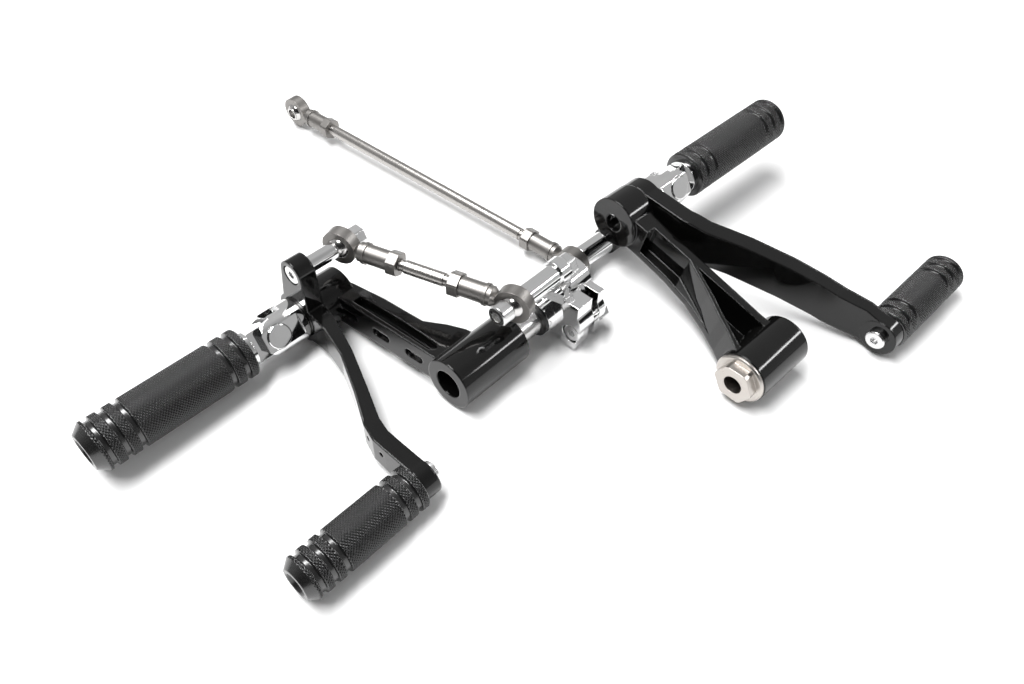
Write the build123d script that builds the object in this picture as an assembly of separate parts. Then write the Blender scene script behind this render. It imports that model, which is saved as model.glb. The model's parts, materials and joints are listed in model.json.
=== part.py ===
from build123d import *
from math import atan2, cos, degrees, hypot, radians, sin
import os

# Motorcycle rider foot controls, both sides, laid out on a flat surface. Millimetres.
# X points forward on the motorcycle, Y to the rider's left and Z up.
# The brake side (rider's right) and the shift side (rider's left) are each modelled in a
# side frame whose origin is on the foot peg axis, then placed by brake_place and shift_place.

# ---- foot pegs ----
peg_radius = 16.75            # over the knurl
peg_length = 107.0            # knurled sleeve, end to end
peg_chamfer_length = 6.0
peg_face_radius = 12.0        # flat outer face, outside the chamfer
peg_mouth_radius = 8.6
peg_mouth_depth = 9.0
groove_width = 3.4
groove_depth = 1.9
groove_wall = 1.1             # run of each sloping groove side
peg_inner_grooves = (7.4, 17.2)       # from the inner end
peg_outer_grooves = (9.5, 18.4, 27.6)  # from the outer face
peg_spindle_radius = 6.0

# ---- toe pegs ----
toe_radius = 14.0
toe_length = 82.0
toe_chamfer_length = 5.0
toe_face_radius = 10.0
toe_mouth_radius = 7.2
toe_mouth_depth = 8.0
toe_inner_grooves = (7.0, 15.6)
toe_outer_grooves = (8.6, 16.6, 24.8)
toe_bolt_radius = 4.0
thin_nut = 4.0

# ---- clevis between bracket and foot peg ----
stud_radius = 6.35            # threaded end, in the bracket
shoulder_radius = 8.0         # lever runs on this
yoke_radius = 15.0
yoke_flange_length = 3.6
yoke_half_width = 13.0        # across the cheeks' outer faces
tang_width = 12.6
tang_end_radius = 10.4
pin_reach = 20.0              # yoke seat to pin axis
pin_radius = 5.0
pin_head_radius = 8.0
pin_head_thickness = 2.2
pin_to_sleeve = 20.5
fold_tilt = 30.0              # pegs fold up and rearward about a pin tilted this much
peg_fold_range = 90.0

# ---- levers ----
lever_thickness = 12.0
lever_hub_radius = 18.0
toe_boss = 10.5
arm_web = 5.0                 # floor between the pockets of both bracket arms
brake_arm_height = 21.5
shift_arm_height = 25.0
brake_arm_length = 39.5       # short arm above the hub
shift_arm_length = 38.0       # short arm below the hub
arm_end_radius = 10.0
bush_wall = 2.0
washer_thickness = 1.2

# ---- linkage hardware ----
bolt_radius = 4.0
spacer_radius = 5.5
ball_radius = 8.4
ball_width = 14.4
ball_neck_radius = 5.2
eye_radius = 12.0
eye_width = 8.4
shank_radius = 6.6
shank_end = 36.0              # ball centre to the end of the shank
collar_start = 17.5
collar_width = 2.2
collar_radius = 7.4
jam_nut_across = 15.0
jam_nut_thickness = 7.0
rod_radius = 4.6
thread_radius = 3.9
thread_exposed = 4.5

# ---- clearances ----
running = 0.05                # radial, shaft or pin in a bush
gap = 0.3                     # between faces of bodies that move on each other
seat_gap = 0.02               # between fixed round fits
open_pivot_gap = 0.12         # linkage is closed here by clearance

# ---- brake side, in its side frame (+Y is inboard) ----
brake_place = Pos(-101.2, -89.3, 18.6) * Rot(0, 0, 3.8) * Rot(-2.0, 0, 0)
brake_hub_radius = 17.5
brake_hub_length = 25.0
brake_lever_face = -9.0       # outboard face of the lever's hub
slot_stations = (23.0, 51.8, 80.4)    # lightening slots along the arm
brake_tube = (112.8, 1.2)     # X, Z of the mounting tube's axis
tube_radius = 17.5
brake_tube_span = (18.5, 73.5)
tube_bore_radius = 9.6
tube_mouth_radius = 9.9       # open outboard end of the brake side tube
cross_shaft_radius = 9.5
cross_shaft_span = (40.0, 146.5)
brake_arm_angle = 5.0         # short arm, from upright towards the front
brake_ball_y = 31.5
brake_toe = (147.4, -6.0)
brake_toe_inner = -42.5       # inner end of the toe peg

# ---- bell crank on the brake cross shaft ----
crank_hub_radius = 13.6
crank_hub_span = (97.5, 142.5)
crank_bush_wall = 1.6
crank_arm_length = 38.5
crank_arm_angle = 10.5
crank_ball_y = 69.5
crank_plate_span = (108.5, 113.5)
crank_block_span = (113.5, 139.0)
crank_block_rise = 12.0
clevis_pin = (26.0, -1.5)     # from the cross shaft's axis
clevis_span = (104.5, 130.5)
clevis_slot_span = (118.4, 124.6)
clevis_front = 30.0
clevis_pin_radius = 3.5
circlip_thickness = 1.6
circlip_radius = 12.4

# ---- shift side, in its side frame (+Y is outboard) ----
shift_place = Pos(-0.9, 96.2, 46.8)
shift_hub_radius = 18.4
shift_hub_length = 21.5
shift_tube = (130.6, -28.8)
shift_tube_span = (-24.5, 21.5)
shift_tube_wall = 8.0         # closed outboard end
shift_arm_angle = 204.5       # short arm, from upright towards the front
shift_arm_boss = 9.0          # boss on the short arm's end, towards the link
shift_toe = (170.6, -32.4)
shift_toe_inner = 80.5
shift_ball_y = -21.0
flange_radius = 17.0
flange_thickness = 2.4
flange_hex_across = 24.0
flange_hex_height = 8.5
flange_bore_radius = 6.3

# ---- long shift rod, ends at its free eye ----
shift_link_length = 294.0
shift_link_yaw = 186.8        # direction from the lever to the free eye
shift_link_pitch = 0.4        # the free eye stands a little higher


def turned(profile):
    """Solid turned about Y from (y, radius) points listed along the axis."""
    points = [(0, profile[0][0])] + [(r, y) for y, r in profile] + [(0, profile[-1][0])]
    return revolve(make_face(Polyline(*points, close=True)), Axis.Y)


def rod_y(radius, y0, y1, x=0.0, z=0.0):
    """Round bar along Y between two stations."""
    return Pos(x, (y0 + y1) / 2, z) * Rot(90, 0, 0) * Cylinder(radius, abs(y1 - y0))


def hex_y(across, y0, y1, x=0.0, z=0.0):
    """Hexagonal bar along Y with lightly turned corners."""
    flat = RegularPolygon(across / 2, 6, major_radius=False)
    bar = Pos(x, (y0 + y1) / 2, z) * Rot(90, 0, 0) * extrude(flat, abs(y1 - y0) / 2, both=True)
    return bar & rod_y(across / 2 * 1.1, y0, y1, x, z)


def box(x0, x1, y0, y1, z0, z1):
    return Pos((x0 + x1) / 2, (y0 + y1) / 2, (z0 + z1) / 2) * Box(x1 - x0, y1 - y0, z1 - z0)


def side_plate(outline, y0, y1):
    """Plate whose XZ outline is swept along Y."""
    face = make_face(Polyline(*[(x, z) for x, z in outline], close=True))
    return Pos(0, y1, 0) * Rot(90, 0, 0) * extrude(face, y1 - y0)


def lobe(x0, z0, r0, x1, z1, r1, y0, y1):
    """Plate around two circles and their common tangents, thick along Y."""
    span = hypot(x1 - x0, z1 - z0)
    line = atan2(z1 - z0, x1 - x0)
    lean = atan2((r0 - r1), (span ** 2 - (r0 - r1) ** 2) ** 0.5)
    corners = []
    for side, (cx, cz, r) in ((1, (x0, z0, r0)), (1, (x1, z1, r1)), (-1, (x1, z1, r1)), (-1, (x0, z0, r0))):
        a = line + side * (radians(90) - lean)
        corners.append((cx + r * cos(a), cz + r * sin(a)))
    return side_plate(corners, y0, y1) + rod_y(r0, y0, y1, x0, z0) + rod_y(r1, y0, y1, x1, z1)


def polar(length, from_upright):
    """X and Z of a point at this length, turned from upright towards the front."""
    return length * sin(radians(from_upright)), length * cos(radians(from_upright))


def strip(path):
    """Outline of a bar around a plan path of (x, y, width), square at both ends."""
    normals = []
    for (xa, ya, wa), (xb, yb, wb) in zip(path, path[1:]):
        run = hypot(xb - xa, yb - ya)
        normals.append(((ya - yb) / run, (xb - xa) / run))
    left, right = [], []
    for i, (x, y, width) in enumerate(path):
        n0 = normals[max(i - 1, 0)]
        n1 = normals[min(i, len(normals) - 1)]
        nx, ny = n0[0] + n1[0], n0[1] + n1[1]
        reach = width / (nx * nx + ny * ny)
        left.append((x + nx * reach, y + ny * reach))
        right.append((x - nx * reach, y - ny * reach))
    return left + right[::-1]


def soften(part, length, keep=lambda e: True):
    """Break the outer edges, as machined parts have them."""
    edges = [e for e in part.edges() if keep(e)]
    return chamfer(edges, length) if edges else part


# ---------------------------------------------------------------- pegs
def grooved_sleeve(radius, length, inner, outer, chamfer_length, face_radius):
    """Peg sleeve from y = 0 at its inner end to y = length at its outer face."""
    stations = sorted(list(inner) + [length - s for s in outer])
    floor = radius - groove_depth
    profile = [(0, radius - 1.0), (1.0, radius)]
    for s in stations:
        half = groove_width / 2
        profile += [(s - half - groove_wall, radius), (s - half, floor), (s + half, floor),
                    (s + half + groove_wall, radius)]
    profile += [(length - chamfer_length, radius), (length, face_radius)]
    return turned(profile)


def foot_peg_sleeve():
    sleeve = grooved_sleeve(peg_radius, peg_length, peg_inner_grooves, peg_outer_grooves,
                            peg_chamfer_length, peg_face_radius)
    sleeve -= rod_y(peg_spindle_radius + seat_gap, -1, peg_length + 1)
    return sleeve - rod_y(peg_mouth_radius, peg_length - peg_mouth_depth, peg_length + 1)


def toe_peg_sleeve():
    sleeve = grooved_sleeve(toe_radius, toe_length, toe_inner_grooves, toe_outer_grooves,
                            toe_chamfer_length, toe_face_radius)
    sleeve -= rod_y(toe_bolt_radius + seat_gap, -1, toe_length + 1)
    return sleeve - rod_y(toe_mouth_radius, toe_length - toe_mouth_depth, toe_length + 1)


def socket_screw(shank_radius_, shank, head_radius, head, socket_across):
    """Socket head screw along Y: head from y = 0 to head, shank running to -shank."""
    body = turned([(-shank, shank_radius_), (0, shank_radius_), (0, head_radius),
                   (head - 0.8, head_radius), (head, head_radius - 0.8)])
    return body - hex_y(socket_across, head * 0.4, head + 1)


# ---------------------------------------------------------------- foot peg clevis
# Clevis frame: seat face at y = 0, pin axis along X at y = pin_reach, peg towards +Y.
def yoke(stud_length, shoulder_length):
    slot = tang_width / 2 + gap
    body = rod_y(yoke_radius, 0, pin_reach + tang_end_radius)
    body &= box(-yoke_half_width, yoke_half_width, -1, pin_reach + 20, -yoke_radius, yoke_radius)
    rounding = Pos(0, pin_reach, 0) * Rot(0, 90, 0) * Cylinder(yoke_radius * 0.8, 2 * yoke_radius)
    body &= rounding + box(-yoke_radius, yoke_radius, -1, pin_reach, -yoke_radius, yoke_radius)
    body -= box(-slot, slot, pin_reach - tang_end_radius - gap, 60, -20, 20)
    body += rod_y(yoke_radius, 0, yoke_flange_length)
    body -= Pos(0, pin_reach, 0) * Rot(0, 90, 0) * Cylinder(pin_radius + seat_gap, 60)
    recess = pin_head_thickness * 0.55
    body -= Pos(yoke_half_width - recess / 2, pin_reach, 0) * Rot(0, 90, 0) * Cylinder(
        pin_head_radius + 0.3, recess)
    body += rod_y(shoulder_radius, -shoulder_length, 0)
    return body + rod_y(stud_radius - seat_gap, -shoulder_length - stud_length, -shoulder_length)


def fold_pin():
    recess = pin_head_thickness * 0.55
    seat = yoke_half_width - recess
    shank = Pos(0, pin_reach, 0) * Rot(0, 90, 0) * Cylinder(pin_radius, 2 * yoke_half_width)
    shank &= box(-yoke_half_width, seat, 0, 60, -20, 20)
    head = Pos(seat + pin_head_thickness / 2, pin_reach, 0) * Rot(0, 90, 0) * Cylinder(
        pin_head_radius, pin_head_thickness)
    return shank + soften(head, 0.5, lambda e: e.center().X > seat + 1 and e.geom_type == GeomType.CIRCLE)


def peg_core():
    """Tang, collar and spindle, which carry the sleeve."""
    half = tang_width / 2
    bottom = pin_reach + pin_to_sleeve
    tang = Pos(0, pin_reach, 0) * Rot(0, 90, 0) * Cylinder(tang_end_radius, tang_width)
    tang += box(-half, half, pin_reach, bottom - 3.5, -tang_end_radius, tang_end_radius)
    tang -= Pos(0, pin_reach, 0) * Rot(0, 90, 0) * Cylinder(pin_radius + running, 60)
    collar = rod_y(peg_face_radius, bottom - 3.5, bottom)
    spindle = rod_y(peg_spindle_radius, bottom, bottom + peg_length - peg_mouth_depth)
    return tang + collar + spindle


def peg_end_screw():
    top = pin_reach + pin_to_sleeve + peg_length - peg_mouth_depth
    head = socket_screw(3.0, 0.01, peg_mouth_radius - 1.0, 5.0, 6.0)
    return Pos(0, top, 0) * head & rod_y(peg_radius, top, top + 20)


# ---------------------------------------------------------------- levers
def lever_bar(side_outline, plan_outline, hub, toe, hub_span, toe_span, toe_end_radius):
    """Bar cut to a side view and a plan view, with a boss at each end."""
    side = side_plate(side_outline, -60, 100)
    plan = extrude(make_face(Polyline(*plan_outline, close=True)), 80, both=True)
    bar = side & plan
    bar += rod_y(lever_hub_radius, *hub_span, *hub)
    return bar + rod_y(toe_end_radius, *toe_span, *toe)


def brake_lever():
    y0 = brake_lever_face
    y1 = y0 + lever_thickness
    toe_y = (brake_toe_inner, brake_toe_inner + toe_boss)
    x1, z1 = brake_toe
    side = [(-2, 15), (16, 13), (34, 11), (100, 5), (x1, z1 + 11), (x1, z1 - 11), (100, -13), (34, -11),
            (16, -13), (-2, -15)]
    middle = (toe_y[0] + toe_y[1]) / 2
    hub, end = (y0 + y1) / 2, toe_y[1] - toe_y[0]
    plan = strip([(-2, hub, lever_thickness), (19, hub, lever_thickness), (32, hub - 2.2, 9.6),
                  (54, hub - 8.5, 8), (82, hub - 20.8, 8.6), (103, middle + 3.2, 10), (114, middle + 0.2, end),
                  (124, middle, end), (x1 + 2, middle, end)])
    body = lever_bar(side, plan, (0, 0), brake_toe, (y0, y1), toe_y, 11.5)
    ax, az = polar(brake_arm_length, brake_arm_angle)
    body += lobe(0, 0, lever_hub_radius - 4, ax, az, arm_end_radius, y0, y1)
    body -= rod_y(shoulder_radius + running + bush_wall, y0 - 1, y1 + 1)
    body -= rod_y(bolt_radius + seat_gap, y0 - 1, y1 + 1, ax, az)
    body -= rod_y(7.0, y0 - 1, y0 + 4.5, ax, az)
    body -= rod_y(toe_bolt_radius + seat_gap, toe_y[0] - 1, toe_y[1] + 1, *brake_toe)
    for x in (x1 - 41, x1 - 27):
        body -= rod_y(1.7, toe_y[0] - 8, toe_y[1] + 12, x, z1 + 3.5)
    return body


def shift_lever():
    y0 = shift_hub_length + gap
    y1 = y0 + lever_thickness
    toe_y = (shift_toe_inner - toe_boss, shift_toe_inner)
    x1, z1 = shift_toe
    side = [(0, 17), (44, 13.5), (78, 7), (107, -1.5), (140, -13), (x1, z1 + 12), (x1, z1 - 12),
            (136, -38.5), (104, -28), (74, -19.5), (42, -14), (0, -17)]
    middle = (toe_y[0] + toe_y[1]) / 2
    hub, end = (y0 + y1) / 2, toe_y[1] - toe_y[0]
    plan = strip([(-2, hub, lever_thickness), (38, hub, lever_thickness), (54, hub + 3.5, 11.5),
                  (106, hub + 28.2, 11), (126, middle - 10.7, end), (146, middle - 4, end),
                  (157, middle - 0.3, end - 1), (x1 + 2, middle, end)])
    body = lever_bar(side, plan, (0, 0), shift_toe, (y0, y1), toe_y, 12.5)
    ax, az = polar(shift_arm_length, shift_arm_angle)
    body += lobe(0, 0, lever_hub_radius - 4, ax, az, arm_end_radius, y0, y1)
    body += rod_y(arm_end_radius, y0 - shift_arm_boss, y1, ax, az)
    body -= rod_y(shoulder_radius + running + bush_wall, y0 - 1, y1 + 1)
    body -= rod_y(bolt_radius + seat_gap, y0 - shift_arm_boss - 1, y1 + 1, ax, az)
    body -= rod_y(7.0, y1 - 4.5, y1 + 1, ax, az)
    return body - rod_y(toe_bolt_radius + seat_gap, toe_y[0] - 1, toe_y[1] + 1, *shift_toe)


def lever_bush(y0, y1):
    return rod_y(shoulder_radius + running + bush_wall - seat_gap, y0, y1) - rod_y(
        shoulder_radius + running, y0 - 1, y1 + 1)


# ---------------------------------------------------------------- brackets
def milled_arm(plan, height, web, pockets):
    """I-section arm: plan outline extruded in Z, with pockets from above and below."""
    arm = extrude(make_face(Polyline(*plan, close=True)), height / 2, both=True)
    for pocket in pockets:
        cut = extrude(make_face(Polyline(*pocket, close=True)), height, both=True)
        cut -= box(-50, 300, -200, 200, -web / 2, web / 2)
        arm -= cut
    return arm


def brake_bracket():
    tx, tz = brake_tube
    y0 = brake_lever_face + lever_thickness + gap
    y1 = y0 + brake_hub_length
    t0, t1 = brake_tube_span
    near, far = y0 + 10.5, y1 + 2.5
    slant = (t0 + 4 - near) / tx
    plan = [(4, near), (tx, t0 + 4), (tx, t0 + 37.5), (tx - 18, t0 + 33.5), (tx - 29, t0 + 28.5),
            (70, far + 7.5), (37, far + 4.2), (12, far), (4, far - 2)]
    pockets = [[(24, near + 5.5), (tx - 22, near + slant * 92 + 3), (tx - 19, near + slant * 92 + 7),
                (tx - 22, near + slant * 92 + 10), (58, far - 1.5), (24, far - 5)]]
    arm = milled_arm(plan, brake_arm_height, arm_web, pockets)
    for x in slot_stations:
        y = near + slant * x
        arm -= Pos(x, y, 0) * Rot(0, 0, degrees(atan2(slant, 1))) * lobe(-4.4, 0, 3.1, 4.4, 0, 3.1, -5, 7)
    slope = degrees(atan2(tz, tx))
    body = Rot(0, -slope, 0) * arm
    body += rod_y(brake_hub_radius, y0, y1) + rod_y(tube_radius, t0, t1, tx, tz)
    body -= rod_y(cross_shaft_radius + seat_gap, t0 - 1, t1 + 1, tx, tz)
    body -= rod_y(tube_mouth_radius, t0 - 1, cross_shaft_span[0], tx, tz)
    return body - rod_y(stud_radius, y0 - 1, y1 + 1)


def shift_bracket():
    tx, tz = shift_tube
    t0, t1 = shift_tube_span
    run = hypot(tx, tz)
    h = shift_hub_length
    near_edge = [(4, 2.5), (24, 2.5), (50, 1.5), (72, -1.5), (92, -7.5), (108, -14), (run - 13, t0 + 3.5),
                 (run, t0 + 3)]
    far_edge = [(run, 14), (run - 20, 13.6), (60, 15.2), (20, 17.2), (4, h)]
    outside_rib = [(25, -30), (25, 9.5), (57, 9.1), (83, -2.2), (102, -11.8), (run - 14.7, t0 + 2.5),
                   (run - 14.7, -30)]
    inside_rib = [(64, 8.8), (run - 7, 8.0), (run - 7, t0 + 5.5), (104.5, -9.2), (86, -0.2)]
    arm = milled_arm(near_edge + far_edge, shift_arm_height, arm_web, [])
    floor_plate = box(-50, 300, -200, 200, -50, arm_web - shift_arm_height / 2)
    for pocket in (outside_rib, inside_rib):
        arm -= extrude(make_face(Polyline(*pocket, close=True)), shift_arm_height, both=True) - floor_plate
    slope = degrees(atan2(tz, tx))
    body = Rot(0, -slope, 0) * arm
    body += rod_y(shift_hub_radius, 0, h) + rod_y(tube_radius, t0, t1, tx, tz)
    body -= rod_y(tube_bore_radius, t0 - 1, t1 - shift_tube_wall, tx, tz)
    return body - rod_y(stud_radius, -1, h + 1)


def flanged_nut():
    """Flanged hex bushing that closes the shift tube's outboard-facing mouth."""
    tx, tz = shift_tube
    face = shift_tube_span[0]
    body = turned([(0, flange_radius), (flange_thickness * 0.6, flange_radius),
                   (flange_thickness, flange_radius - 1.0)])
    body += hex_y(flange_hex_across, 0, flange_hex_height)
    body += rod_y(tube_bore_radius - seat_gap, -14, 0)
    body -= rod_y(flange_bore_radius, -20, flange_hex_height + 1)
    return Pos(tx, face, tz) * Rot(0, 0, 180) * body


# ---------------------------------------------------------------- bell crank
def bell_crank():
    tx, tz = brake_tube
    h0, h1 = crank_hub_span
    ax, az = polar(crank_arm_length, crank_arm_angle)
    px, pz = clevis_pin
    hub = rod_y(crank_hub_radius, h0, h1)
    block = lobe(0, 0, 14.0, 0.5, crank_block_rise, 14.0, *crank_block_span)
    plate = lobe(0, 0, 13.0, ax, az, 9.0, *crank_plate_span)
    boss = rod_y(9.0, crank_plate_span[0] - 3.0, crank_plate_span[1], ax, az)
    clevis = lobe(6, 1.5, 14.2, px - 6, pz + 8, 13.0, *clevis_span)
    clevis += box(px - 8, clevis_front, clevis_span[0], clevis_span[1], pz - 12, pz + 25)
    clevis -= box(12, clevis_front + 5, clevis_slot_span[0], clevis_slot_span[1], pz - 30, pz + 30)
    body = hub + block + plate + boss + clevis
    body -= rod_y(clevis_pin_radius + seat_gap, clevis_span[0] - 1, clevis_span[1] + 1, px, pz)
    body -= rod_y(7.2, clevis_span[0] - 1, clevis_span[0] + 5.5, px, pz)
    body -= rod_y(cross_shaft_radius + running + crank_bush_wall, h0 - 1, h1 + 1)
    body -= rod_y(bolt_radius + seat_gap, h0, h1, ax, az)
    return Pos(tx, 0, tz) * body


def crank_bush():
    outer = cross_shaft_radius + running + crank_bush_wall - seat_gap
    return rod_y(outer, *crank_hub_span, *brake_tube) - rod_y(
        cross_shaft_radius + running, crank_hub_span[0] - 1, crank_hub_span[1] + 1, *brake_tube)


def circlip(y0):
    """Open retaining ring in a groove of the cross shaft."""
    ring = rod_y(circlip_radius, y0, y0 + circlip_thickness) - rod_y(
        cross_shaft_radius - 0.7, y0 - 1, y0 + 3)
    ring -= box(-2.5, 2.5, y0 - 1, y0 + 3, -20, 0)
    return Pos(brake_tube[0], 0, brake_tube[1]) * ring


clip_stations = (crank_hub_span[0] - gap - circlip_thickness, crank_hub_span[1] + gap)


def cross_shaft():
    bar = rod_y(cross_shaft_radius, *cross_shaft_span, *brake_tube)
    for y in clip_stations:
        groove = rod_y(20, y, y + circlip_thickness, *brake_tube)
        bar -= groove - rod_y(cross_shaft_radius - 0.7, y - 1, y + 3, *brake_tube)
    return bar


# ---------------------------------------------------------------- link rods
# Link frame: the driven ball at the origin, the rod along +X.
def rod_end(open_gap=0.0):
    """Female rod end, eye at the origin and shank towards +X."""
    eye = rod_y(eye_radius, -eye_width / 2, eye_width / 2)
    neck_radius = eye_width / 2 - 0.5
    profile = [(0, 0), (0, neck_radius), (eye_radius - 1, neck_radius), (eye_radius + 2.5, shank_radius),
               (collar_start, shank_radius), (collar_start, collar_radius),
               (collar_start + collar_width, collar_radius), (collar_start + collar_width, shank_radius),
               (shank_end, shank_radius), (shank_end, 0)]
    shank = revolve(make_face(Polyline(*profile, close=True)), Axis.X)
    body = eye + shank - Sphere(ball_radius + running + open_gap)
    return body - Pos(shank_end - 10, 0, 0) * Rot(0, 90, 0) * Cylinder(thread_radius + seat_gap, 20.2)


def link_ball(bore):
    body = Sphere(ball_radius) & rod_y(20, 0.8 - ball_width / 2, ball_width / 2 - 0.8)
    body += rod_y(ball_neck_radius, -ball_width / 2, ball_width / 2)
    return body - rod_y(bore, -20, 20)


def jam_nut(x0):
    flat = RegularPolygon(jam_nut_across / 2, 6, major_radius=False)
    bar = Pos(x0, 0, 0) * Rot(0, 90, 0) * extrude(flat, jam_nut_thickness)
    bar &= Pos(x0 + jam_nut_thickness / 2, 0, 0) * Rot(0, 90, 0) * Cylinder(jam_nut_across * 0.55, 20)
    return bar - Pos(x0, 0, 0) * Rot(0, 90, 0) * Cylinder(thread_radius + seat_gap, 30)


def link_rod(length):
    """Round rod with a threaded end in each rod end."""
    start = shank_end + jam_nut_thickness + thread_exposed
    threads = length - 2 * (shank_end - 17)
    body = Pos(length / 2, 0, 0) * Rot(0, 90, 0) * Cylinder(rod_radius, length - 2 * start)
    return body + Pos(length / 2, 0, 0) * Rot(0, 90, 0) * Cylinder(thread_radius, threads)


def turned_round(part):
    """The same piece facing the other way along X."""
    return Rot(0, 0, 180) * part


# ================================================================ placing
nodes = {}


def add(name, part, place):
    nodes[name] = place * part


# brake side stack along Y: sleeve, clevis, washer, lever, bracket
lever_in = brake_lever_face + lever_thickness
bracket_face = lever_in + gap
washer_face = brake_lever_face - gap
yoke_seat_brake = washer_face - washer_thickness
clevis_brake = brake_place * Location((0, yoke_seat_brake, 0)) * Rot(0, -fold_tilt, 0) * Rot(0, 0, 180)
clevis_brake = clevis_brake * Rot(0, 180, 0)
add("brake_bracket", brake_bracket(), brake_place)
add("brake_yoke", yoke(brake_hub_length - 3.0, bracket_face - yoke_seat_brake), clevis_brake)
add("brake_peg_pin", fold_pin(), clevis_brake)
add("brake_peg_core", peg_core(), clevis_brake)
sleeve_place = Location((0, pin_reach + pin_to_sleeve, 0))
add("brake_peg_sleeve", foot_peg_sleeve(), clevis_brake * sleeve_place)
add("brake_peg_end_screw", peg_end_screw(), clevis_brake)


def thrust_washer(y0):
    return rod_y(14.0, y0, y0 + washer_thickness) - rod_y(shoulder_radius + running, y0 - 1, y0 + 3)


add("brake_thrust_washer", thrust_washer(yoke_seat_brake), brake_place)
add("brake_pedal_lever", brake_lever(), brake_place)
add("brake_pedal_bush", lever_bush(brake_lever_face, lever_in), brake_place)

# brake toe peg: towards the outboard side
toe_place = brake_place * Location((brake_toe[0], brake_toe_inner, brake_toe[1]))
add("brake_toe_peg_sleeve", turned_round(toe_peg_sleeve()), toe_place)


def toe_bolt(lever_wall, head_radius, head, socket):
    """Screw through the lever into the toe peg, head on the lever's far face."""
    shank = lever_wall + toe_length - toe_mouth_depth - 2
    return Pos(0, -lever_wall, 0) * Rot(0, 0, 180) * socket_screw(toe_bolt_radius, shank, head_radius, head, socket)


def toe_end_nut():
    top = toe_length - toe_mouth_depth
    return hex_y(10.0, top, top + 5.5) - rod_y(toe_bolt_radius - 1.2, top + 3, top + 9)


add("brake_toe_peg_screw", turned_round(toe_bolt(toe_boss, 7.0, 4.5, 5.0)), toe_place)
add("brake_toe_peg_end_nut", turned_round(toe_end_nut()), toe_place)

# brake short arm: screw, spacer, ball, nut
arm_x, arm_z = polar(brake_arm_length, brake_arm_angle)
arm_place = brake_place * Location((arm_x, 0, arm_z))
ball_half = ball_width / 2
add("brake_arm_spacer", rod_y(spacer_radius, lever_in, brake_ball_y - ball_half)
    - rod_y(bolt_radius + seat_gap, 0, 60), arm_place)
add("brake_link_rear_ball", link_ball(bolt_radius + seat_gap), arm_place * Location((0, brake_ball_y, 0)))
nut_face = brake_ball_y + ball_half
add("brake_arm_nut", hex_y(13.0, nut_face, nut_face + 8) - rod_y(bolt_radius + seat_gap, 0, 60), arm_place)
screw_head = 4.2
add("brake_arm_screw", Pos(0, brake_lever_face + 4.5, 0) * turned_round(
    socket_screw(bolt_radius, nut_face + 9.5 - brake_lever_face - 4.5, 6.8, screw_head, 5.0)), arm_place)

# bell crank on the cross shaft
crank_x, crank_z = polar(crank_arm_length, crank_arm_angle)
crank_place = brake_place * Location((brake_tube[0] + crank_x, 0, brake_tube[1] + crank_z))
add("brake_cross_shaft", cross_shaft(), brake_place)
add("bell_crank", bell_crank(), brake_place)
add("bell_crank_bush", crank_bush(), brake_place)
for label, station in zip(("outboard", "inboard"), clip_stations):
    add("bell_crank_circlip_" + label, circlip(station), brake_place)
crank_boss_face = crank_plate_span[0] - 3.0
add("bell_crank_spacer", rod_y(7.4, crank_ball_y + ball_half, crank_boss_face)
    - rod_y(bolt_radius + seat_gap, 60, 120), crank_place)
add("brake_link_front_ball", link_ball(bolt_radius + seat_gap), crank_place * Location((0, crank_ball_y, 0)))
bolt_seat = crank_ball_y - ball_half
add("bell_crank_link_bolt", Pos(0, bolt_seat, 0) * turned_round(
    socket_screw(bolt_radius, crank_plate_span[1] + 9 - bolt_seat, 7.0, 9.0, 6.5)), crank_place)
add("bell_crank_link_nut", hex_y(14.0, crank_plate_span[1], crank_plate_span[1] + 7.5)
    - rod_y(bolt_radius + seat_gap, 100, 140), crank_place)
clevis_place = brake_place * Location((brake_tube[0] + clevis_pin[0], 0, brake_tube[1] + clevis_pin[1]))
add("push_rod_pin", Pos(0, clevis_span[0] + 5.5, 0) * turned_round(
    socket_screw(clevis_pin_radius, clevis_span[1] - clevis_span[0] + 2.0, 6.5, 5.0, 5.0)), clevis_place)
add("push_rod_pin_nut", hex_y(11.0, clevis_span[1], clevis_span[1] + 6.5)
    - rod_y(clevis_pin_radius + seat_gap, 100, 160), clevis_place)

# brake link between the two balls
link_run = (brake_tube[0] + crank_x - arm_x, crank_ball_y - brake_ball_y, brake_tube[1] + crank_z - arm_z)
brake_link_length = (link_run[0] ** 2 + link_run[1] ** 2 + link_run[2] ** 2) ** 0.5
link_yaw = degrees(atan2(link_run[1], link_run[0]))
link_pitch = -degrees(atan2(link_run[2], hypot(link_run[0], link_run[1])))
link_place = arm_place * Location((0, brake_ball_y, 0)) * Rot(0, 0, link_yaw) * Rot(0, link_pitch, 0)
far_end = Location((brake_link_length, 0, 0))
add("brake_link_rear_rod_end", rod_end(), link_place)
add("brake_link_front_rod_end", turned_round(rod_end(open_pivot_gap)), link_place * far_end)
add("brake_link_rod", link_rod(brake_link_length), link_place)
add("brake_link_rear_jam_nut", jam_nut(shank_end), link_place)
add("brake_link_front_jam_nut", turned_round(jam_nut(shank_end)), link_place * far_end)

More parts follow.
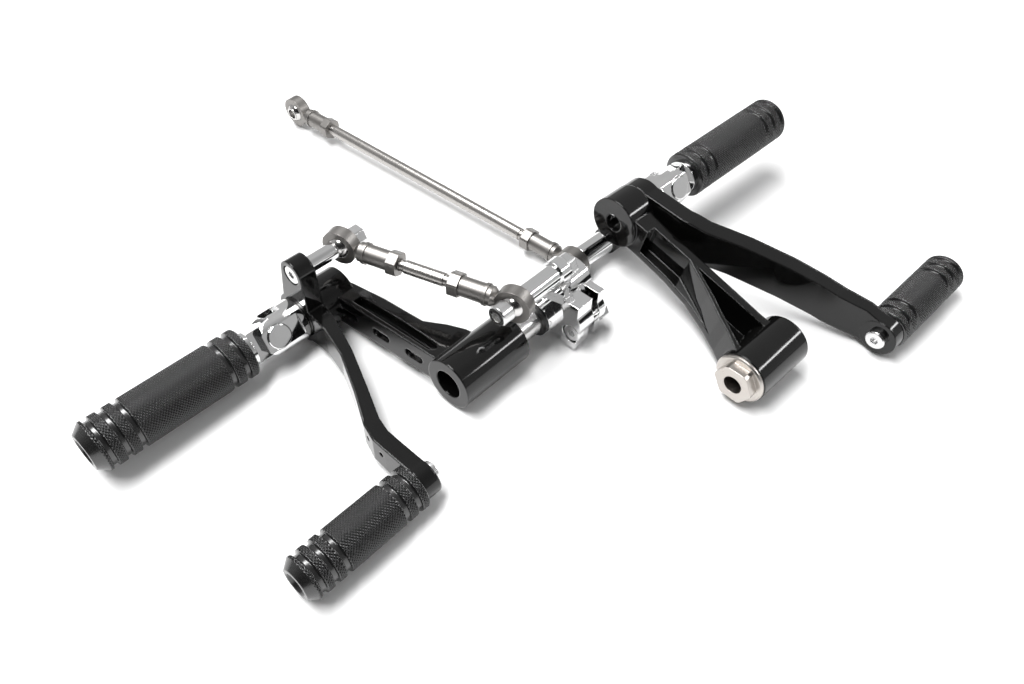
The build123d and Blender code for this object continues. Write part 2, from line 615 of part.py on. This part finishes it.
# shift side
lever_face = shift_hub_length + gap
lever_out = lever_face + lever_thickness
yoke_seat = lever_out + gap + washer_thickness
clevis_shift = shift_place * Location((0, yoke_seat, 0)) * Rot(0, -fold_tilt, 0)
add("shift_bracket", shift_bracket(), shift_place)
add("shift_flanged_nut", flanged_nut(), shift_place)
add("shift_yoke", yoke(shift_hub_length - 6.0, yoke_seat - shift_hub_length), clevis_shift)
add("shift_thrust_washer", thrust_washer(lever_out + gap), shift_place)
add("shift_peg_pin", fold_pin(), clevis_shift)
add("shift_peg_core", peg_core(), clevis_shift)
add("shift_peg_sleeve", foot_peg_sleeve(), clevis_shift * sleeve_place)
add("shift_peg_end_screw", peg_end_screw(), clevis_shift)
add("shift_lever", shift_lever(), shift_place)
add("shift_lever_bush", lever_bush(lever_face, lever_out), shift_place)
shift_toe_place = shift_place * Location((shift_toe[0], shift_toe_inner, shift_toe[1]))
add("shift_toe_peg_sleeve", toe_peg_sleeve(), shift_toe_place)
add("shift_toe_peg_screw", toe_bolt(toe_boss, 6.6, 4.0, 5.0), shift_toe_place)
add("shift_toe_peg_end_nut", toe_end_nut(), shift_toe_place)

shift_arm_x, shift_arm_z = polar(shift_arm_length, shift_arm_angle)
shift_arm_place = shift_place * Location((shift_arm_x, 0, shift_arm_z))
boss_face = lever_face - shift_arm_boss
add("shift_arm_spacer", rod_y(8.6, shift_ball_y + ball_half, boss_face)
    - rod_y(bolt_radius + seat_gap, -60, 60), shift_arm_place)
shift_ball_place = shift_arm_place * Location((0, shift_ball_y, 0))
add("shift_link_front_ball", link_ball(bolt_radius + seat_gap), shift_ball_place)
shift_nut_face = shift_ball_y - ball_half
add("shift_arm_nut", hex_y(13.0, shift_nut_face - thin_nut, shift_nut_face)
    - rod_y(bolt_radius + seat_gap, -60, 60), shift_arm_place)
add("shift_arm_screw", Pos(0, lever_out - 4.5, 0) * socket_screw(
    bolt_radius, lever_out - 4.5 - shift_nut_face + thin_nut, 6.8, screw_head, 5.0), shift_arm_place)

shift_link_place = shift_ball_place * Rot(0, 0, shift_link_yaw) * Rot(0, -shift_link_pitch, 0)
free_end = Location((shift_link_length, 0, 0))
add("shift_link_front_rod_end", rod_end(), shift_link_place)
add("shift_link_rear_rod_end", turned_round(rod_end()), shift_link_place * free_end)
add("shift_link_rod", link_rod(shift_link_length), shift_link_place)
add("shift_link_front_jam_nut", jam_nut(shank_end), shift_link_place)
add("shift_link_rear_jam_nut", turned_round(jam_nut(shank_end)), shift_link_place * free_end)
add("shift_link_rear_ball", link_ball(bolt_radius), shift_link_place * free_end)

# the row's origin is on the floor, under the middle of the set
whole = Compound(children=[n for n in nodes.values()]).bounding_box()
origin = Location((-whole.center().X, -whole.center().Y, -whole.min.Z))

os.makedirs("parts", exist_ok=True)
for name, part in nodes.items():
    solids = (origin * part).solids()
    shape = solids[0] if len(solids) == 1 else Compound(children=list(solids))
    shape.label = name
    export_step(shape, "parts/" + name + ".step")
print(len(nodes), "nodes, size", whole.size, "origin", origin.position)
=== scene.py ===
import bpy
from math import cos, pi, radians, sin
from mathutils import Matrix, Vector
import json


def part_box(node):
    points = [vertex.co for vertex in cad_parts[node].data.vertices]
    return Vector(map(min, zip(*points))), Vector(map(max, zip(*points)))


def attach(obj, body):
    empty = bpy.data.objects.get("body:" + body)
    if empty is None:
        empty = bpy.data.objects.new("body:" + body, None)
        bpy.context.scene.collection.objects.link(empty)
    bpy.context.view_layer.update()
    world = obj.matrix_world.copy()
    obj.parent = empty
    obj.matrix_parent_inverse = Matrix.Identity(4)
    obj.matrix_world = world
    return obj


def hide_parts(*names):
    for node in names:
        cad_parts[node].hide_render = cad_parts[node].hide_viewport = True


# Motorcycle foot controls, laid out on a white studio table. Metres throughout.
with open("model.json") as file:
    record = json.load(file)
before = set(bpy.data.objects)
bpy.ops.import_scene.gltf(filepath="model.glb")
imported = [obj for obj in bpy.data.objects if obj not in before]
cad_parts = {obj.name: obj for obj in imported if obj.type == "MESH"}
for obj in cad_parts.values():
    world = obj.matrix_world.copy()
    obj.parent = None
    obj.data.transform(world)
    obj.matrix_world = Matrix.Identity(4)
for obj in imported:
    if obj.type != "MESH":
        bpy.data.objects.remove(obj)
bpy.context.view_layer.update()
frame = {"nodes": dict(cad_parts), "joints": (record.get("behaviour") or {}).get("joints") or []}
nodes = frame["nodes"]
joints = {j["name"]: j for j in frame["joints"]}
print("frame loaded:", len(nodes), "nodes")


def join(tree, slot, value):
    # a wire is linked to the slot, anything else is set on it
    if isinstance(value, Wire):
        tree.links.new(value.socket, slot)
    else:
        slot.default_value = value


def addNode(tree, kind, settings=None, inputs=None, output=0):
    made = tree.nodes.new(kind)
    for key, value in (settings or {}).items():
        setattr(made, key, value)
    for key, value in (inputs or {}).items():
        join(tree, made.inputs[key], value)
    return Wire(tree, made.outputs[output])


class Wire:
    # one socket of a node tree, with arithmetic
    def __init__(self, tree, socket):
        self.tree = tree
        self.socket = socket

    def maths(self, operation, first, second, settings=None):
        allSettings = dict({"operation": operation}, **(settings or {}))
        return addNode(self.tree, "ShaderNodeMath", allSettings, {0: first, 1: second})

    def __add__(self, other):
        return self.maths("ADD", self, other)

    def __radd__(self, other):
        return self.maths("ADD", self, other)

    def __sub__(self, other):
        return self.maths("SUBTRACT", self, other)

    def __rsub__(self, other):
        return self.maths("SUBTRACT", other, self)

    def __mul__(self, other):
        return self.maths("MULTIPLY", self, other)

    def __rmul__(self, other):
        return self.maths("MULTIPLY", self, other)

    def clamp(self):
        return self.maths("ADD", self, 0.0, {"use_clamp": True})


class Paint:
    # one material and its Principled shader
    def __init__(self, name, **constants):
        self.material = bpy.data.materials.new(name)
        self.material.use_nodes = True
        self.tree = self.material.node_tree
        self.shader = next(n for n in self.tree.nodes if n.type == "BSDF_PRINCIPLED")
        for socket, value in constants.items():
            self.shader.inputs[socket].default_value = value

    def node(self, kind, settings=None, inputs=None, output=0):
        return addNode(self.tree, kind, settings, inputs, output)

    def place(self):
        return self.node("ShaderNodeTexCoord", output="Object")

    def noise(self, scale, detail=3.0, where=None):
        inputs = {"Vector": where or self.place(), "Scale": scale, "Detail": detail}
        return self.node("ShaderNodeTexNoise", None, inputs)

    def blend(self, amount, first, second):
        # inputs 0, 6 and 7 are the factor and the two colours
        return self.node("ShaderNodeMix", {"data_type": "RGBA"}, {0: amount, 6: first, 7: second}, 2)

    def bump(self, height, strength, distance, under=None):
        inputs = {"Strength": strength, "Distance": distance, "Height": height}
        if under is not None:
            inputs["Normal"] = under
        return self.node("ShaderNodeBump", None, inputs)

    def feed(self, socket, wire):
        self.tree.links.new(wire.socket, self.shader.inputs[socket])

    def roundEdges(self, radius, height, strength, distance):
        edge = self.node("ShaderNodeBevel", {"samples": 6}, {"Radius": radius})
        self.feed("Normal", self.bump(height, strength, distance, edge))


def grey(value, warm=0.0):
    return (value * (1 + warm), value, value * (1 - warm), 1.0)


def glossBlack():
    # thick gloss black coat: a little unevenness and fine dust dulling
    look = {"base": 0.002, "dust": 0.006, "rough": 0.05, "dull": 0.08, "edge": 0.0015}
    p = Paint("glossBlack", IOR=1.46)
    cloud = p.noise(60.0, 4.0)
    speck = p.noise(900.0, 2.0)
    p.feed("Base Color", p.blend(cloud * speck, grey(look["base"]), grey(look["dust"], 0.02)))
    p.feed("Roughness", look["rough"] + cloud * look["dull"] * 0.6)
    p.roundEdges(look["edge"], p.noise(240.0, 1.0), 0.05, 0.0001)
    return p.material


def knurlBlack():
    # black anodised aluminium; the knurl's points carry a painted glint, coloured a little brighter and
    # unevenly
    look = {"base": 0.001, "point": 0.012, "rough": 0.2, "grainScale": 2500.0}
    p = Paint("knurlBlack", IOR=1.46)
    pointHeight = p.node("ShaderNodeAttribute", {"attribute_name": "knurlHeight"}, output="Fac")
    cloud = p.noise(90.0, 3.0)
    # painted glint: the colour brightens towards each knurl point, mottled by the cloud noise
    paintedGlint = (pointHeight * pointHeight * (0.6 + cloud * 0.7)).clamp()
    p.feed("Base Color", p.blend(paintedGlint, grey(look["base"], 0.01), grey(look["point"], -0.01)))
    p.feed("Roughness", look["rough"] - pointHeight * 0.1 + cloud * 0.1)
    p.feed("Normal", p.bump(p.noise(look["grainScale"], 2.0), 0.15, 0.0001))
    return p.material


def grooveBlack():
    # smooth turned grooves and end chamfers of the sleeves
    look = {"low": 0.004, "high": 0.012, "rough": 0.16, "spread": 0.12, "ringScale": 700.0}
    p = Paint("grooveBlack", IOR=1.7)
    rings = p.noise(look["ringScale"], 2.0)
    p.feed("Base Color", p.blend(rings, grey(look["low"]), grey(look["high"])))
    p.feed("Roughness", look["rough"] + rings * look["spread"])
    p.feed("Normal", p.bump(rings, 0.1, 0.0001))
    return p.material


def polished(name, base, rough, warm=0.0, edge=0.0005):
    # bright metal with faint polishing haze and fine scratches
    look = {"hazeScale": 120.0, "scratchScale": 1400.0, "hazeTone": 0.93, "hazeWarmth": 0.6,
            "hazeRough": 0.8, "scratchRough": 0.3}
    p = Paint(name, Metallic=1.0)
    haze = p.noise(look["hazeScale"], 4.0)
    scratch = p.noise(look["scratchScale"], 2.0)
    dull, bright = grey(base * look["hazeTone"], warm), grey(base, warm * look["hazeWarmth"])
    p.feed("Base Color", p.blend(haze, dull, bright))
    p.feed("Roughness", rough + haze * rough * look["hazeRough"] + scratch * rough * look["scratchRough"])
    p.roundEdges(edge, scratch, 0.04, 0.00005)
    return p.material


def brushed(name, base, rough, warm, axis):
    # turned or drawn metal: its noise is drawn fine along one row axis, 0 for X or 1 for Y
    look = {"coarse": 260.0, "fine": 2600.0, "cloudScale": 70.0, "lineTone": 0.86, "lineWarmth": 0.7,
            "lineRough": 0.5, "cloudRough": 0.3, "edge": 0.0004}
    p = Paint(name, Metallic=1.0)
    stretch = [look["coarse"]] * 3
    stretch[axis] = look["fine"]
    where = p.node("ShaderNodeVectorMath", {"operation": "MULTIPLY"}, {0: p.place(), 1: stretch})
    line = p.noise(1.0, 3.0, where)
    cloud = p.noise(look["cloudScale"], 3.0)
    dull, bright = grey(base * look["lineTone"], warm), grey(base, warm * look["lineWarmth"])
    p.feed("Base Color", p.blend(line, dull, bright))
    p.feed("Roughness", rough + line * rough * look["lineRough"] + cloud * rough * look["cloudRough"])
    p.roundEdges(look["edge"], line, 0.12, 0.00008)
    return p.material


def tableTop():
    # plain white sweep
    look = {"low": 0.90, "high": 0.91, "rough": 0.75, "spread": 0.1}
    p = Paint("tableTop", IOR=1.3)
    tone = p.noise(3.0, 2.0)
    p.feed("Base Color", p.blend(tone, grey(look["low"]), grey(look["high"])))
    p.feed("Roughness", look["rough"] + tone * look["spread"])
    return p.material


finishes = {
    "glossBlack": glossBlack(),
    "knurlBlack": knurlBlack(),
    "grooveBlack": grooveBlack(),
    "chrome": polished("chrome", base=0.88, rough=0.045),
    "ballSteel": polished("ballSteel", base=0.6, rough=0.12, warm=0.02),
    "stainless": brushed("stainless", base=0.42, rough=0.2, warm=0.045, axis=0),
    "turnedSteel": brushed("turnedSteel", base=0.62, rough=0.18, warm=0.01, axis=1),
    "castSteel": brushed("castSteel", base=0.25, rough=0.30, warm=0.05, axis=0),
    "zincSteel": polished("zincSteel", base=0.74, rough=0.16, edge=0.0004),
    "nickelPlate": polished("nickelPlate", base=0.5, rough=0.2, warm=0.08, edge=0.0006),
    "bronze": brushed("bronze", base=0.5, rough=0.3, warm=0.28, axis=1),
    "springSteel": brushed("springSteel", base=0.1, rough=0.35, warm=0.0, axis=1),
    "tableTop": tableTop(),
}
print("finishes made:", len(finishes))

finishOf = {
    "glossBlack": ("brake_bracket", "shift_bracket", "brake_pedal_lever", "shift_lever"),
    "chrome": ("brake_yoke", "shift_yoke", "bell_crank", "brake_peg_pin", "shift_peg_pin", "brake_peg_core",
               "shift_peg_core", "brake_arm_spacer", "shift_arm_spacer", "bell_crank_spacer"),
    "ballSteel": ("brake_link_rear_ball", "brake_link_front_ball", "shift_link_front_ball",
                  "shift_link_rear_ball"),
    "turnedSteel": ("brake_cross_shaft", "brake_thrust_washer", "shift_thrust_washer"),
    "nickelPlate": ("shift_flanged_nut",),
    "bronze": ("brake_pedal_bush", "shift_lever_bush", "bell_crank_bush"),
    "springSteel": ("bell_crank_circlip_outboard", "bell_crank_circlip_inboard"),
}


named = {node: finish for finish, group in finishOf.items() for node in group}


def finishName(node):
    if node in named:
        return named[node]
    if node.endswith("rod_end") or "jam_nut" in node:
        return "castSteel"
    if node.endswith("link_rod"):
        return "stainless"
    return "zincSteel"


for name, obj in nodes.items():
    obj.data.materials.clear()
    obj.data.materials.append(finishes[finishName(name)])


def meshObject(name, verts, faces, finish, smooth=True):
    mesh = bpy.data.meshes.new(name)
    mesh.from_pydata(verts, [], faces)
    obj = bpy.data.objects.new(name, mesh)
    bpy.context.scene.collection.objects.link(obj)
    mesh.materials.append(finishes[finish])
    for polygon in mesh.polygons:
        polygon.use_smooth = smooth
    return obj


def lathe(name, rings, around, finish, offset):
    # closed loop of rings (distance along, radius) turned about Z; offset(i, j) adds to the radius
    verts, faces = [], []
    for i, (along, radius) in enumerate(rings):
        for j in range(around):
            r = radius + offset(i, j)
            turn = 2 * pi * j / around
            verts.append((r * cos(turn), r * sin(turn), along))
    for i in range(len(rings)):
        k = (i + 1) % len(rings)
        for j in range(around):
            m = (j + 1) % around
            faces.append((i * around + j, i * around + m, k * around + m, k * around + j))
    return meshObject(name, verts, faces, finish)


def standOn(obj, start, direction):
    # the lathe's axis goes onto the line from start along direction
    turn = Vector(direction).to_track_quat("Z", "Y").to_matrix().to_4x4()
    obj.matrix_world = Matrix.Translation(Vector(start)) @ turn


def axisOf(node, direction):
    # start point and length of a turned CAD node along its known axis
    d = Vector(direction).normalized()
    sideA = d.cross(Vector((0, 0, 1))).normalized()
    sideB = d.cross(sideA)
    points = [v.co for v in nodes[node].data.vertices]
    spans = [(min(p.dot(a) for p in points), max(p.dot(a) for p in points)) for a in (d, sideA, sideB)]
    middle = [(low + high) / 2 for low, high in spans]
    start = d * spans[0][0] + sideA * middle[1] + sideB * middle[2]
    return start, spans[0][1] - spans[0][0]


# knurled sleeves: inner and outer are groove stations, from the inboard and from the outboard face
footSleeve = {"radius": 0.01675, "chamfer": 0.006, "face": 0.012, "mouth": 0.0086, "mouthDepth": 0.009,
              "bore": 0.00602, "edge": 0.001, "inner": (0.0074, 0.0172), "outer": (0.0095, 0.0184, 0.0276),
              "grooveHalf": 0.0012, "grooveWall": 0.0009, "grooveDepth": 0.0019, "around": 448,
              "pitch": 0.0019, "stretch": 1.25, "depth": 0.0006, "flank": 1.6, "step": 0.00028}
toeSleeve = dict(footSleeve, radius=0.014, chamfer=0.005, face=0.010, mouth=0.0072, mouthDepth=0.008,
                 bore=0.00402, inner=(0.0070, 0.0156), outer=(0.0086, 0.0166, 0.0248), around=372)


def sleeveRadius(size, stations, length, s):
    # radius at s along the sleeve, and whether the knurl runs there
    radius, edge = size["radius"], size["edge"]
    if s < edge:
        return radius - edge + s, False
    if s > length - size["chamfer"]:
        t = (s - length + size["chamfer"]) / size["chamfer"]
        return radius + (size["face"] - radius) * t, False
    for station in stations:
        away = abs(s - station)
        if away < size["grooveHalf"]:
            return radius - size["grooveDepth"], False
        if away < size["grooveHalf"] + size["grooveWall"]:
            t = (away - size["grooveHalf"]) / size["grooveWall"]
            ease = t * t * (3 - 2 * t)
            return radius - size["grooveDepth"] * (1 - ease), False
    return radius, True


def knurlHeight(size, teeth, s, j):
    # two crossed helices leave pointed diamonds, 1 at the point and 0 in the valley
    u = teeth * j / size["around"]
    v = s / size["pitch"]
    a = abs(((u + v) % 1.0) - 0.5) * 2
    b = abs(((u - v) % 1.0) - 0.5) * 2
    return min(1.0, size["flank"] * min(1 - a, 1 - b))


def knurledSleeve(name, node, direction, body, size):
    start, length = axisOf(node, direction)
    stations = sorted(list(size["inner"]) + [length - s for s in size["outer"]])
    around = size["around"]
    teeth = round(2 * pi * size["radius"] / (size["pitch"] * size["stretch"]))
    rings, knurled, heights = [], [], []
    count = int(length / size["step"])
    for i in range(count + 1):
        s = length * i / count
        r, rough = sleeveRadius(size, stations, length, s)
        rings.append((s, r))
        knurled.append(rough)
        heights.append([knurlHeight(size, teeth, s, j) if rough else 0.0 for j in range(around)])
    step = length - size["mouthDepth"]
    for ring in ((length, size["mouth"]), (step, size["mouth"]), (step, size["bore"]), (0.0, size["bore"])):
        rings.append(ring)
        knurled.append(False)
        heights.append([0.0] * around)

    def offset(i, j):
        return size["depth"] * (heights[i][j] - 1.0) if knurled[i] else 0.0

    obj = lathe(name, rings, around, "grooveBlack", offset)
    obj.data.materials.append(finishes["knurlBlack"])
    height = obj.data.attributes.new("knurlHeight", "FLOAT", "POINT")
    height.data.foreach_set("value", [value for row in heights for value in row])
    marks = []
    for i in range(len(rings)):
        both = knurled[i] and knurled[(i + 1) % len(rings)]
        marks.extend([int(both)] * around)
    obj.data.polygons.foreach_set("material_index", marks)
    standOn(obj, start, direction)
    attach(obj, body)
    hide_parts(node)


sideways = Vector(joints["brake_pedal_pivot"]["axis"])
knurledSleeve("brakeFootPegSleeve", "brake_peg_sleeve", -sideways, "brake_foot_peg", footSleeve)
knurledSleeve("shiftFootPegSleeve", "shift_peg_sleeve", (0, 1, 0), "shift_foot_peg", footSleeve)
knurledSleeve("brakeToePegSleeve", "brake_toe_peg_sleeve", -sideways, "brake_pedal", toeSleeve)
knurledSleeve("shiftToePegSleeve", "shift_toe_peg_sleeve", (0, 1, 0), "shift_lever", toeSleeve)
print("knurled sleeves made")


# screw threads that show beside the jam nuts; profile is (share of the pitch, crest or root)
thread = {"pitch": 0.00125, "crest": 0.0041, "root": 0.0035, "from": 0.0428, "to": 0.0478, "around": 40,
          "fadeSteps": 20, "profile": ((-0.48, "root"), (-0.12, "crest"), (0.12, "crest"), (0.48, "root"))}


def threadedLength(name, start, direction, body):
    # one wound strip that fades out at both ends
    size = thread
    root, fadeSteps, profile = size["root"], size["fadeSteps"], size["profile"]
    steps = int((size["to"] - size["from"]) / size["pitch"] * size["around"])
    verts, faces = [], []
    for i in range(steps + 1):
        turn = 2 * pi * i / size["around"]
        along = size["from"] + size["pitch"] * i / size["around"]
        fade = min(1.0, i / fadeSteps, (steps - i) / fadeSteps)
        for share, level in profile:
            r = root + (size[level] - root) * fade
            verts.append((r * cos(turn), r * sin(turn), along + share * size["pitch"]))
    wide = len(profile)
    for i in range(steps):
        for k in range(wide - 1):
            a = i * wide + k
            faces.append((a, a + 1, a + wide + 1, a + wide))
    obj = meshObject(name, verts, faces, "stainless")
    standOn(obj, start, direction)
    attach(obj, body)


def middleOf(node):
    low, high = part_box(node)
    return (Vector(low) + Vector(high)) / 2


brakeRear = middleOf("brake_link_rear_ball")
brakeFront = middleOf("brake_link_front_ball")
shiftFront = middleOf("shift_link_front_ball")
shiftRear = middleOf("shift_link_rear_ball")
threadedLength("brakeLinkRearThread", brakeRear, brakeFront - brakeRear, "brake_link")
threadedLength("brakeLinkFrontThread", brakeFront, brakeRear - brakeFront, "brake_link")
threadedLength("shiftLinkFrontThread", shiftFront, shiftRear - shiftFront, "shift_link")
threadedLength("shiftLinkRearThread", shiftRear, shiftFront - shiftRear, "shift_link")
print("threads made")

tableSize = {"half": 14.0}
h = tableSize["half"]
corners = [(-h, -h, 0), (h, -h, 0), (h, h, 0), (-h, h, 0)]
table = meshObject("tableTop", corners, [(0, 1, 2, 3)], "tableTop", smooth=False)

lamps = {
    "overheadBox": {"at": (-0.50, -0.42, 2.1), "towards": (0.0, 0.0, 0.0), "size": (2.0, 0.7), "power": 84.0},
    "backStrip": {"at": (0.9, 1.7, 1.2), "towards": (0.0, 0.0, 0.0), "size": (2.0, 0.14), "power": 18.0},
}
for name, lamp in lamps.items():
    data = bpy.data.lights.new(name, "AREA")
    data.shape = "RECTANGLE"
    data.size, data.size_y = lamp["size"]
    data.energy = lamp["power"]
    light = bpy.data.objects.new(name, data)
    bpy.context.scene.collection.objects.link(light)
    light.location = lamp["at"]
    aim = Vector(lamp["towards"]) - Vector(lamp["at"])
    light.rotation_euler = aim.to_track_quat("-Z", "Y").to_euler()

# studio surround: pale, and dark on the side the camera stands on
surround = {"darkSide": (0.55, -0.52, 0.66), "paleUntil": 0.35, "pale": (0.5, 0.5, 0.5, 1),
            "darkFrom": 0.85, "dark": (0.02, 0.02, 0.021, 1), "strength": 1.0}
world = bpy.data.worlds.new("studio")
bpy.context.scene.world = world
world.use_nodes = True
tree = world.node_tree
background = next(n for n in tree.nodes if n.type == "BACKGROUND")
heading = addNode(tree, "ShaderNodeTexCoord", output="Generated")
inputs = {0: heading, 1: surround["darkSide"]}
facing = addNode(tree, "ShaderNodeVectorMath", {"operation": "DOT_PRODUCT"}, inputs, "Value")
shade = addNode(tree, "ShaderNodeValToRGB", None, {0: facing})
paleStop, darkStop = shade.socket.node.color_ramp.elements
paleStop.position = surround["paleUntil"]
paleStop.color = surround["pale"]
darkStop.position = surround["darkFrom"]
darkStop.color = surround["dark"]
join(tree, background.inputs["Color"], shade)
join(tree, background.inputs["Strength"], surround["strength"])
bpy.context.scene.view_settings.view_transform = "Standard"

cameraSet = {"at": (0.332648, -0.266023, 0.416155), "tilt": 41.2, "turn": 46.5, "lens": 29.0, "sensor": 36.0,
             "clip": 0.01}
cameraData = bpy.data.cameras.new("camera")
cameraData.lens = cameraSet["lens"]
cameraData.sensor_width = cameraSet["sensor"]
cameraData.clip_start = cameraSet["clip"]
camera = bpy.data.objects.new("camera", cameraData)
bpy.context.scene.collection.objects.link(camera)
camera.location = cameraSet["at"]
camera.rotation_euler = (radians(cameraSet["tilt"]), 0.0, radians(cameraSet["turn"]))
bpy.context.scene.camera = camera
print("table, light and camera set")
